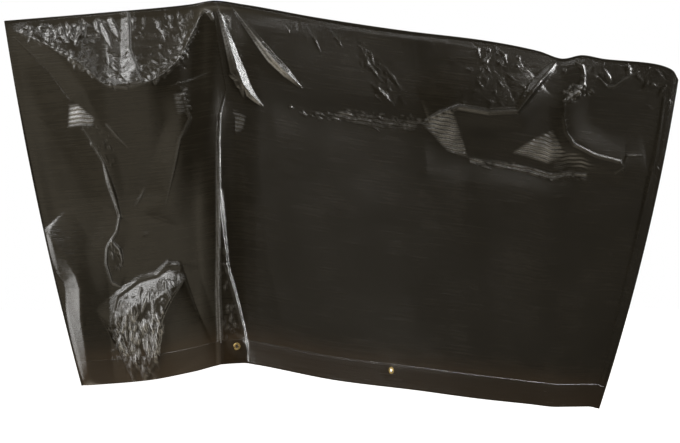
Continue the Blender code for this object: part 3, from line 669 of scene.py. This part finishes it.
def undulation(along, down, pick):
    """Slow, soft waves of the whole sheet."""
    result = np.zeros(along.shape)
    for _ in range(WAVES):
        wave = pick.uniform(*WAVE_LENGTHS)
        angle = math.radians(pick.uniform(-WAVE_HEADING, WAVE_HEADING))
        phase = pick.uniform(0, 2 * math.pi)
        ahead = along * math.cos(angle) + down * math.sin(angle)
        beside = along * math.sin(angle) - down * math.cos(angle)
        bent = WAVE_STRAY * np.sin(2 * math.pi * beside / WAVE_STRAY_LENGTH + phase)
        result += WAVE_HEIGHT * wave / WAVE_LENGTHS[1] * np.sin(2 * math.pi * (ahead + bent) / wave + phase)
    return result


def oval(row, along, down):
    """A soft oval patch, 1 in its middle."""
    middle_along, middle_down, half_along, half_down = row[1:5]
    angle = math.radians(row[5])
    beside = along - middle_along
    below = down - middle_down
    across = (beside * math.cos(angle) + below * math.sin(angle)) / half_along
    up = (-beside * math.sin(angle) + below * math.cos(angle)) / half_down
    return np.clip(OVAL_MIDDLE - across**2 - up**2, 0.0, 1.0)


def bending(field, places):
    """How sharply a sheet is creased at each place, from 0 to 1: a hard crease whitens the film, and this whitening
    also serves as a painted highlight.
    """
    slope_down, slope_along = np.gradient(field, places[1], places[0])
    bend = np.hypot(np.gradient(slope_down, places[1], axis=0), np.gradient(slope_along, places[0], axis=1))
    return np.clip((bend - SOFT_BEND) / (HARD_BEND - SOFT_BEND), 0.0, 1.0)


def seat_planes(names):
    """The centre and normal of each eyelet, from its own mesh."""
    planes = []
    for name in names:
        points = np.array([vertex.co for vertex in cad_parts[name].data.vertices])
        spread = np.linalg.svd(points - points.mean(axis=0), full_matrices=False)[2]
        planes.append((sum(np.array(corner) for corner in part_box(name)) / 2, spread[2]))
    return planes


def flatten_seats(points, planes):
    """Ease the sheet into the plane of each eyelet around it."""
    for centre, normal in planes:
        offset = points - centre
        height = offset @ normal
        radius = np.linalg.norm(offset - height[..., None] * normal, axis=-1)
        share = np.clip((SEAT_END - radius) / (SEAT_END - SEAT_FLAT), 0.0, 1.0)
        points -= (eased(share) * (np.abs(height) < SEAT_HEIGHT) * height)[..., None] * normal
    return points


def sheet_points(side, places, planes):
    """One side of the cover with its creases, wrinkles and ribs, and how much its colour is whitened at each place:
    crease whitening, raised in patches into a painted highlight.
    """
    creases, wrinkles, ribs, scuffs_and_highlights = side.tables
    pick = random.Random(side.seed)
    along, down = grid(places)
    field = np.zeros(along.shape)
    for _, height, right, left, line in creases:
        add_crease(field, places, height / 1000, right / 1000, left / 1000, line)
    for row in wrinkles:
        for wrinkle in wrinkle_lines(row, pick):
            add_crease(field, places, *wrinkle)
    field += rib_height(ribs, along, down, pick)
    field += undulation(along, down, random.Random(side.wave_seed))
    inside = np.minimum(down, np.minimum(along, LENGTH - along)) - DETAIL_START
    field *= eased(np.clip(inside / (DETAIL_FULL - DETAIL_START), 0.0, 1.0))
    plain = both_sides(places)[side.index]
    points = plain + field[..., None] * normals_of(plain, side.outward)
    more = sum((row[6] * oval(row, along, down) for row in scuffs_and_highlights), np.ones(along.shape))
    return flatten_seats(points, planes), more * bending(field, places)


def placed(name, data):
    """A new object in the scene."""
    piece = bpy.data.objects.new(name, data)
    bpy.context.scene.collection.objects.link(piece)
    return piece


def grid_faces(rows, columns, flip, closed):
    """The cells of a grid. In a closed one the last row meets the first, and a cap closes each end."""
    faces = []
    for row in range(rows if closed else rows - 1):
        here, after = row * columns, (row + 1) % rows * columns
        faces.extend((here + column, after + column, after + column + 1, here + column + 1)
                     for column in range(columns - 1))
    if closed:
        first, last = (tuple(range(column, rows * columns, columns)) for column in (0, columns - 1))
        faces += [first[::-1], last]
    return [face[::-1] for face in faces] if flip else faces


def grid_piece(name, points, places, material, flip=False, closed=False, wear_and_highlight=None):
    """An object from a grid of points, with where each lies on the flat cloth and how much the film's colour is
    whitened there, by creasing and by painted highlights.
    """
    mesh = bpy.data.meshes.new(name)
    faces = grid_faces(*points.shape[:2], flip, closed)
    mesh.from_pydata([tuple(point) for point in points.reshape(-1, 3)], [], faces)
    mesh.update()
    corners = np.empty(len(mesh.loops), dtype=np.int64)
    mesh.loops.foreach_get("vertex_index", corners)
    flat = np.stack(grid(places), axis=-1).reshape(-1, 2)
    mesh.uv_layers.new(name="cloth").data.foreach_set("uv", flat[corners].ravel())
    mesh.shade_smooth()
    # The whitening, partly crease wear and partly painted highlight, goes to the material as an attribute
    if wear_and_highlight is not None:
        mesh.attributes.new(name="wear_and_highlight", type="FLOAT", domain="POINT").data.foreach_set("value", wear_and_highlight.ravel())
    mesh.materials.append(material)
    return placed(name, mesh)


def hem_piece(side, planes, material):
    """The doubled strip: an outer and an inner layer that turn into each other at the lower edge."""
    alongs, downs = stations(HEM_COLUMNS), stations(HEM_ROWS)
    points, wear_and_highlight = sheet_points(side, (alongs, downs), planes)
    rim = np.clip((downs - downs[0]) / HEM_RIM, HEM_THINNEST, 1.0)[:, None, None]
    half = HEM_THICKNESS / 2
    normals = normals_of(points, side.outward)
    below = unit(points[-1] - points[-2])
    turn = [points[-1] + half * (math.cos(angle) * normals[-1] + math.sin(angle) * below)
            for angle in (math.pi / 4, math.pi / 2, 3 * math.pi / 4)]
    loop = np.array([*(points + half * rim * normals), *turn, *(points - half * rim * normals)[::-1]])
    loop_wear_and_highlight = np.array([*wear_and_highlight, *[wear_and_highlight[-1]] * len(turn), *wear_and_highlight[::-1]])
    places = (alongs, [*downs, *[DEPTH] * len(turn), *downs[::-1]])
    piece = grid_piece(f"{side.name}_hem_strip", loop, places, material, side.flip, True, loop_wear_and_highlight)
    for centre, normal in planes:
        cut_hole(piece, centre, normal)
    return piece


def cut_hole(piece, centre, normal):
    """Cut a round hole through a strip and keep the result."""
    bpy.ops.mesh.primitive_cylinder_add(vertices=HOLE_SIDES, radius=HOLE_RADIUS, depth=HOLE_DEPTH, location=centre)
    cutter = bpy.context.object
    cutter.rotation_euler = Vector(normal).to_track_quat("Z", "Y").to_euler()
    bpy.context.view_layer.update()
    cut = piece.modifiers.new("hole", "BOOLEAN")
    cut.operation = "DIFFERENCE"
    cut.solver = "EXACT"
    cut.object = cutter
    bpy.context.view_layer.objects.active = piece
    with bpy.context.temp_override(object=piece, active_object=piece, selected_objects=[piece]):
        bpy.ops.object.modifier_apply(modifier=cut.name)
    bpy.data.objects.remove(cutter, do_unlink=True)


def bead_piece(material):
    """The thin bead along the weld: up the front seam, along the top and down the rear seam."""
    top = sum(both_sides((stations(NEAR_COLUMNS), np.array([0.0, FLANGE])))) / 2
    alongs = np.array([0.0, FLANGE, LENGTH / 2, LENGTH - FLANGE, LENGTH])
    ends = sum(both_sides((alongs, np.linspace(0.0, DEPTH, BEAD_PLACES)))) / 2
    path = np.concatenate([ends[::-1, 0], top[0, 1:-1], ends[:, -1]])
    tangents = unit(np.gradient(path, axis=0))
    first = unit(np.cross(tangents, OUTWARD))
    second = np.cross(tangents, first)
    points = np.array([path + BEAD_RADIUS * (math.cos(angle) * first + math.sin(angle) * second)
                       for angle in (2 * math.pi * side / BEAD_SIDES for side in range(BEAD_SIDES))])
    walked = np.concatenate([[0], np.cumsum(np.linalg.norm(np.diff(path, axis=0), axis=1))])
    return grid_piece("weld_edge", points, (walked, np.arange(BEAD_SIDES) * BEAD_UV_STEP), material, closed=True)


class Nodes:
    """A short way to write the node tree of a material or a world."""

    def __init__(self, owner):
        owner.use_nodes = True
        self.tree = owner.node_tree
        self.tree.nodes.clear()

    def add(self, kind, **settings):
        node = self.tree.nodes.new(kind)
        for name, value in settings.items():
            setattr(node, name, value)
        return node

    def feed(self, target, value):
        """Link a socket to an output, or set it to a constant; a colour is three numbers."""
        if hasattr(value, "links"):
            self.tree.links.new(value, target)
        else:
            target.default_value = (*value, 1.0) if target.type == "RGBA" else value

    def fed(self, kind, **values):
        """A node whose sockets are fed by their names, with _ for a space."""
        node = self.add(kind)
        for name, value in values.items():
            self.feed(node.inputs[name.replace("_", " ")], value)
        return node

    def math(self, operation, *values, clamp=False):
        node = self.add("ShaderNodeMath", operation=operation, use_clamp=clamp)
        for target, value in zip(node.inputs, values):
            self.feed(target, value)
        return node.outputs[0]

    def wave(self, value, pitch):
        return self.math("SINE", self.math("MULTIPLY", value, 2 * math.pi / pitch))

    def ramp(self, value, low, high, to_low=0.0, to_high=1.0):
        node = self.fed("ShaderNodeMapRange", Value=value, From_Min=low, From_Max=high, To_Min=to_low, To_Max=to_high)
        node.interpolation_type = "SMOOTHSTEP"
        return node.outputs["Result"]

    def noise(self, vector, scale, detail, roughness):
        """Noise of one scale, or of a scale for each axis."""
        if isinstance(scale, tuple):
            vector = self.fed("ShaderNodeMapping", Vector=vector, Scale=scale).outputs["Vector"]
            scale = 1.0
        return self.fed("ShaderNodeTexNoise", Vector=vector, Scale=scale, Detail=detail,
                        Roughness=roughness).outputs["Fac"]

    def mix(self, share, first, second):
        node = self.add("ShaderNodeMix", data_type="RGBA")
        colours = [socket for socket in node.inputs if socket.type == "RGBA"]
        for target, value in zip((node.inputs["Factor"], *colours), (share, first, second)):
            self.feed(target, value)
        return next(socket for socket in node.outputs if socket.type == "RGBA")

    def bump(self, height, strength, distance):
        return self.fed("ShaderNodeBump", Height=height, Strength=strength, Distance=distance).outputs["Normal"]

    def finish(self, kind, shader):
        self.feed(self.add(kind).inputs["Surface"], shader)


# The film's patterns: noise (scale, detail, roughness), pitches, heights in the order that they are added, colours,
# and where a pattern starts and is full
STREAKS = ((7.0, 210.0, 1.0), 3.0, 0.55)
UPRIGHTS = ((170.0, 9.0, 1.0), 2.0, 0.5)
CLOUDS = (5.5, 4.0, 0.6)
SPECKS = (240.0, 2.0, 0.6)
WEAVE_PITCH = 0.0028
STITCH_PITCH = 0.005
STITCH_EDGES = (0.0018, 0.0004)
STITCH_DASHES, DASH_SHARE = (-0.2, 0.4), 0.6
BUMPS = (0.00030, 0.00010, 0.00008, 0.00024, 0.00012)
TONES = (0.30, 0.70)
DUST, DUST_SHARE = (0.06, 0.055, 0.045), 0.25
DUST_CLOUDS, DUST_SPECKS = (0.55, 0.80), (0.5, 0.75)
# A painted glow: the brown that the film's colour turns to low down, standing in for light that comes through it
PAINTED_BROWN_GLOW, PAINTED_GLOW_SHARE = (0.044, 0.028, 0.015), 0.6
# The pale grey of whitened film: crease whitening, and also a painted highlight
WORN_AND_HIGHLIT_FILM = (0.32, 0.32, 0.32)
WORN_AND_HIGHLIT_SPECKS = (0.30, 0.62, 0.35, 1.0)
BLOTCHES, BLOTCH_CLOUDS = (0.3, 0.7), 0.6
SMOOTHER, ROUGHER = -0.03, 0.04
LIGHT_THROUGH, THROUGH_SHARE = (0.42, 0.24, 0.11), 0.05
FILM_IOR = 1.5

# The two kinds of film: darkest and lightest colour, roughness, how far down the glow starts (a painted glow in the
# colour, and light let through), lines of stitches
PANEL_FILM = ((0.013, 0.0108, 0.0070), (0.022, 0.0185, 0.0125), 0.22, 0.82, (0.012,))
HEM_FILM = ((0.016, 0.0125, 0.0080), (0.026, 0.0200, 0.0125), 0.24, 0.84, (0.903, 0.956))

BRASS, TARNISH = (0.90, 0.70, 0.30), (0.55, 0.40, 0.17)
TARNISH_NOISE, TARNISH_EDGES = (260.0, 4.0, 0.6), (0.4, 0.7)
TARNISH_ROUGHNESS = (0.3, 0.8, 0.22, 0.48)
SCRATCHES, SCRATCH_BUMP = ((900.0, 900.0, 5200.0), 2.0, 0.5), (0.5, 0.00005)


def tarpaulin_material(name, dark, light, roughness, glow_start, seam_downs):
    """Woven polyethylene film: fine horizontal ribs, streaks and dust, whitened where it is creased, partly as real
    crease whitening and partly as a painted highlight, and a brown glow low down, where light comes through one
    layer, partly by translucency and partly painted into its colour."""
    material = bpy.data.materials.new(name)
    nodes = Nodes(material)
    cloth = nodes.add("ShaderNodeUVMap", uv_map="cloth").outputs["UV"]
    apart = nodes.fed("ShaderNodeSeparateXYZ", Vector=cloth)
    along, down = apart.outputs["X"], apart.outputs["Y"]

    streaks, uprights, clouds, specks = (nodes.noise(cloth, *noise) for noise in (STREAKS, UPRIGHTS, CLOUDS, SPECKS))
    weave = nodes.math("MULTIPLY", nodes.wave(down, WEAVE_PITCH), nodes.wave(along, WEAVE_PITCH))
    seams = 0.0
    for place in seam_downs:
        line = nodes.ramp(nodes.math("ABSOLUTE", nodes.math("SUBTRACT", down, place)), *STITCH_EDGES)
        seams = nodes.math("ADD", seams, line)
    dashes = nodes.ramp(nodes.wave(along, STITCH_PITCH), *STITCH_DASHES)
    stitches = nodes.math("MULTIPLY", seams, nodes.math("MULTIPLY_ADD", dashes, DASH_SHARE, 1 - DASH_SHARE))

    height = 0.0
    for pattern, full in zip((streaks, uprights, weave, specks, stitches), BUMPS):
        height = nodes.math("MULTIPLY_ADD", pattern, full, height)

    tone = nodes.math("MULTIPLY_ADD", streaks, 0.5, nodes.math("MULTIPLY", clouds, 0.5))
    colour = nodes.mix(nodes.ramp(tone, *TONES), dark, light)
    dust = nodes.math("MULTIPLY", nodes.ramp(clouds, *DUST_CLOUDS), nodes.ramp(specks, *DUST_SPECKS))
    colour = nodes.mix(nodes.math("MULTIPLY", dust, DUST_SHARE), colour, DUST)
    # Painted light: the colour turns browner low down, standing in for light that comes through one layer; a real
    # translucent share is mixed in as well
    low = nodes.ramp(down, glow_start, DEPTH)
    colour = nodes.mix(nodes.math("MULTIPLY", low, PAINTED_GLOW_SHARE), colour, PAINTED_BROWN_GLOW)
    # Painted highlight, partly real crease whitening: the colour turns pale grey where the sheet is sharply creased,
    # more in the listed patches
    wear_and_highlight = nodes.add("ShaderNodeAttribute", attribute_name="wear_and_highlight").outputs["Fac"]
    worn_and_highlit = nodes.math("MULTIPLY", wear_and_highlight, nodes.ramp(specks, *WORN_AND_HIGHLIT_SPECKS))
    colour = nodes.mix(nodes.math("MULTIPLY", worn_and_highlit, WHITENING_AND_HIGHLIGHT, clamp=True), colour, WORN_AND_HIGHLIT_FILM)

    blotches = nodes.math("MULTIPLY_ADD", clouds, BLOTCH_CLOUDS, nodes.math("MULTIPLY", streaks, 1 - BLOTCH_CLOUDS))
    shader = nodes.fed("ShaderNodeBsdfPrincipled", Base_Color=colour, IOR=FILM_IOR, Normal=nodes.bump(height, 1, 1),
                       Roughness=nodes.ramp(blotches, *BLOTCHES, roughness + SMOOTHER, roughness + ROUGHER))
    through = nodes.fed("ShaderNodeBsdfTranslucent", Color=LIGHT_THROUGH)
    blend = nodes.fed("ShaderNodeMixShader", Fac=nodes.math("MULTIPLY", low, THROUGH_SHARE))
    nodes.feed(blend.inputs[1], shader.outputs["BSDF"])
    nodes.feed(blend.inputs[2], through.outputs["BSDF"])
    nodes.finish("ShaderNodeOutputMaterial", blend.outputs["Shader"])
    return material


def brass_material():
    """Dull brass with fine scratches and darker tarnish."""
    material = bpy.data.materials.new("eyelet_brass")
    nodes = Nodes(material)
    place = nodes.add("ShaderNodeTexCoord").outputs["Object"]
    tarnish = nodes.noise(place, *TARNISH_NOISE)
    scratches = nodes.noise(place, *SCRATCHES)
    shader = nodes.fed("ShaderNodeBsdfPrincipled", Metallic=1.0, Normal=nodes.bump(scratches, *SCRATCH_BUMP),
                       Base_Color=nodes.mix(nodes.ramp(tarnish, *TARNISH_EDGES), BRASS, TARNISH),
                       Roughness=nodes.ramp(tarnish, *TARNISH_ROUGHNESS))
    nodes.finish("ShaderNodeOutputMaterial", shader.outputs["BSDF"])
    return material


# Soft boxes that face the cover's middle: the heading to each is right, up and front as the camera sees it
LIGHTS = (
    # name, right, up, front, distance, width, height, power
    ("key_above", -0.43, 0.82, 0.40, 6.0, 1.4, 2.4, 300.0),
    ("side_left", -0.98, 0.03, 0.14, 5.0, 2.0, 3.8, 185.0),
    ("front_left", -0.70, 0.54, 0.47, 5.0, 0.9, 0.9, 62.0),
    ("back_left", -0.96, 0.02, -0.24, 5.0, 0.8, 3.2, 12.0),
    ("back_right", 0.81, 0.31, -0.50, 5.0, 0.9, 1.0, 125.0),
    ("above_right", 0.60, 0.75, -0.28, 5.0, 0.8, 0.8, 1.2),
    ("above_front", 0.02, 0.84, 0.54, 5.0, 0.5, 0.5, 25.0),
    ("above_rear", 0.51, 0.85, 0.05, 5.0, 0.7, 0.6, 20.0),
)
COVER_MIDDLE = 0.45

# The room that the cloth reflects: its brightness by the height of the direction, as a sum of slopes
ROOM_TINT = (1.0, 0.90, 0.72)
ROOM_SLOPES = (
    # height at the start and end, brightness there
    (-0.3, 0.25, 0.42, 0.86),
    (0.28, 0.62, 0.0, -0.76),
    (-0.50, -0.85, 0.0, 2.0),
)
SCREENS = (
    # the middle's heading, where the shade starts and is full by the cosine of the angle from it, what it leaves
    ((0.8, 0.3, 0.5), 0.76, 0.97, 0.05),
    ((0.6, -0.35, -0.75), 0.45, 0.85, 0.10),
    ((-0.62, -0.12, 0.77), 0.80, 0.98, 0.28),
    ((1.0, -0.05, -0.1), 0.97, 0.998, 0.30),
    ((0.85, 0.53, -0.03), 0.94, 0.99, 0.55),
)

WHITE = (1.0, 1.0, 1.0)
FLOOR_COLOUR = (0.92, 0.92, 0.92)
FLOOR_HALF = 60.0

# The camera stands square to the near panel's outward direction, far off, as a long lens does
CAMERA_DISTANCE = 48.0
CAMERA_CLIP = (0.5, 300.0)
SENSOR_WIDTH = 36.0
VIEW_WIDTH = 1.70
VIEW_CENTRE = (-0.0244, 0.0144, 0.4718)


def heading(right, up, front):
    """A unit direction given as the camera sees it."""
    return tuple(unit(right * LENGTHWAYS + front * OUTWARD + np.array([0.0, 0.0, up])))


def turned(direction):
    """The rotation of a light or camera that looks in a direction."""
    return direction.to_track_quat("-Z", "Y").to_euler()


def floor_piece():
    """A plain white studio floor."""
    material = bpy.data.materials.new("studio_floor")
    nodes = Nodes(material)
    shader = nodes.fed("ShaderNodeBsdfPrincipled", Base_Color=FLOOR_COLOUR, Roughness=0.9, Specular_IOR_Level=0.1,
                       Emission_Color=WHITE, Emission_Strength=1.0)
    nodes.finish("ShaderNodeOutputMaterial", shader.outputs["BSDF"])
    mesh = bpy.data.meshes.new("studio_floor")
    corners = [(x * FLOOR_HALF, y * FLOOR_HALF, GROUND) for x, y in ((-1, -1), (1, -1), (1, 1), (-1, 1))]
    mesh.from_pydata(corners, [], [(0, 1, 2, 3)])
    mesh.materials.append(material)
    floor = placed("studio_floor", mesh)
    floor.visible_glossy = floor.visible_diffuse = False


def area_light(name, place, target, width, height, power):
    """A soft box that faces a place."""
    data = bpy.data.lights.new(name, "AREA")
    data.shape = "RECTANGLE"
    data.size = width
    data.size_y = height
    data.energy = power
    light = placed(name, data)
    light.location = place
    light.rotation_euler = turned(target - place)
    light.visible_camera = False


def studio_world():
    """A white background to the camera. The cloth sees a dim, warm room instead, darker overhead, bright at the
    floor, and shaded by screens in five directions."""
    world = bpy.data.worlds.new("studio")
    bpy.context.scene.world = world
    nodes = Nodes(world)
    toward = nodes.add("ShaderNodeTexCoord").outputs["Generated"]
    up = nodes.fed("ShaderNodeSeparateXYZ", Vector=toward).outputs["Z"]
    room = 0.0
    for start, stop, at_start, at_stop in ROOM_SLOPES:
        room = nodes.math("ADD", room, nodes.ramp(up, start, stop, at_start, at_stop))
    for where, start, stop, level in SCREENS:
        dot = nodes.add("ShaderNodeVectorMath", operation="DOT_PRODUCT")
        nodes.feed(dot.inputs[0], toward)
        nodes.feed(dot.inputs[1], heading(*where))
        room = nodes.math("MULTIPLY", room, nodes.ramp(dot.outputs["Value"], start, stop, 1.0, level))
    seen = nodes.add("ShaderNodeLightPath").outputs["Is Camera Ray"]
    background = nodes.fed("ShaderNodeBackground", Color=nodes.mix(seen, ROOM_TINT, WHITE),
                           Strength=nodes.math("MAXIMUM", room, seen))
    nodes.finish("ShaderNodeOutputWorld", background.outputs["Background"])


def camera_piece():
    """The camera at the photograph's viewing angle."""
    data = bpy.data.cameras.new("camera")
    camera = placed("camera", data)
    back = Vector(OUTWARD)
    camera.location = Vector(VIEW_CENTRE) + back.normalized() * CAMERA_DISTANCE
    camera.rotation_euler = turned(-back)
    data.sensor_width = SENSOR_WIDTH
    data.lens = SENSOR_WIDTH * CAMERA_DISTANCE / VIEW_WIDTH
    data.clip_start, data.clip_end = CAMERA_CLIP
    bpy.context.scene.camera = camera


Side = namedtuple("Side", "name index outward tables columns panels flip seed wave_seed")
SIDES = (
    Side("near", 0, OUTWARD, (NEAR_CREASES, NEAR_WRINKLES, NEAR_RIBS, NEAR_SCUFFS_AND_HIGHLIGHTS), NEAR_COLUMNS,
         (("front", NEAR_FRONT_ROWS, 0.0, NEAR_PARTING), ("rear", NEAR_REAR_ROWS, NEAR_PARTING, LENGTH)),
         False, 5, 45),
    Side("far", 1, -OUTWARD, (FAR_CREASES, FAR_WRINKLES, (), ()), FAR_COLUMNS,
         (("whole", FAR_ROWS, 0.0, LENGTH),), True, 6, 46),
)
SAME_PLACE = 1e-6


def build_side(side, tarpaulin, doubled, brass):
    """The panels and hem strip of one side, in place of the CAD parts that they stand for, which are hidden; its
    eyelets get brass.
    """
    eyelets = [f"eyelet_{side.name}_front", f"eyelet_{side.name}_middle"]
    planes = seat_planes(eyelets)
    panels = []
    for end, rows, start, stop in side.panels:
        alongs, downs = stations(side.columns), stations(rows)
        points, wear_and_highlight = sheet_points(side, (alongs, downs), planes)
        kept = (alongs > start - SAME_PLACE) & (alongs < stop + SAME_PLACE)
        panels.append(grid_piece(f"{side.name}_cloth_{end}", points[:, kept], (alongs[kept], downs), tarpaulin,
                                 side.flip, wear_and_highlight=wear_and_highlight[:, kept]))
    hem = hem_piece(side, planes, doubled)
    for panel, (_, _, start, stop) in zip(panels, side.panels):
        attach(panel, "root")
        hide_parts(f"panel_{side.name}")
    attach(hem, "root")
    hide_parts(f"hem_{side.name}_front", f"hem_{side.name}_rear")
    for name in eyelets:
        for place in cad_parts[name].material_slots:
            place.material = brass


def main():
    camera_piece()
    studio_world()
    floor_piece()
    bpy.context.scene.view_settings.view_transform = "Standard"
    middle = Vector((0.0, 0.0, COVER_MIDDLE))
    for name, right, up, front, distance, width, height, power in LIGHTS:
        place = middle + distance * Vector(heading(right, up, front))
        area_light(name, place, middle, width, height, power)

    tarpaulin = tarpaulin_material("tarpaulin", *PANEL_FILM)
    doubled = tarpaulin_material("tarpaulin_hem", *HEM_FILM)
    brass = brass_material()
    for side in SIDES:
        build_side(side, tarpaulin, doubled, brass)
    bead = bead_piece(tarpaulin)
    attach(bead, "root")


main()
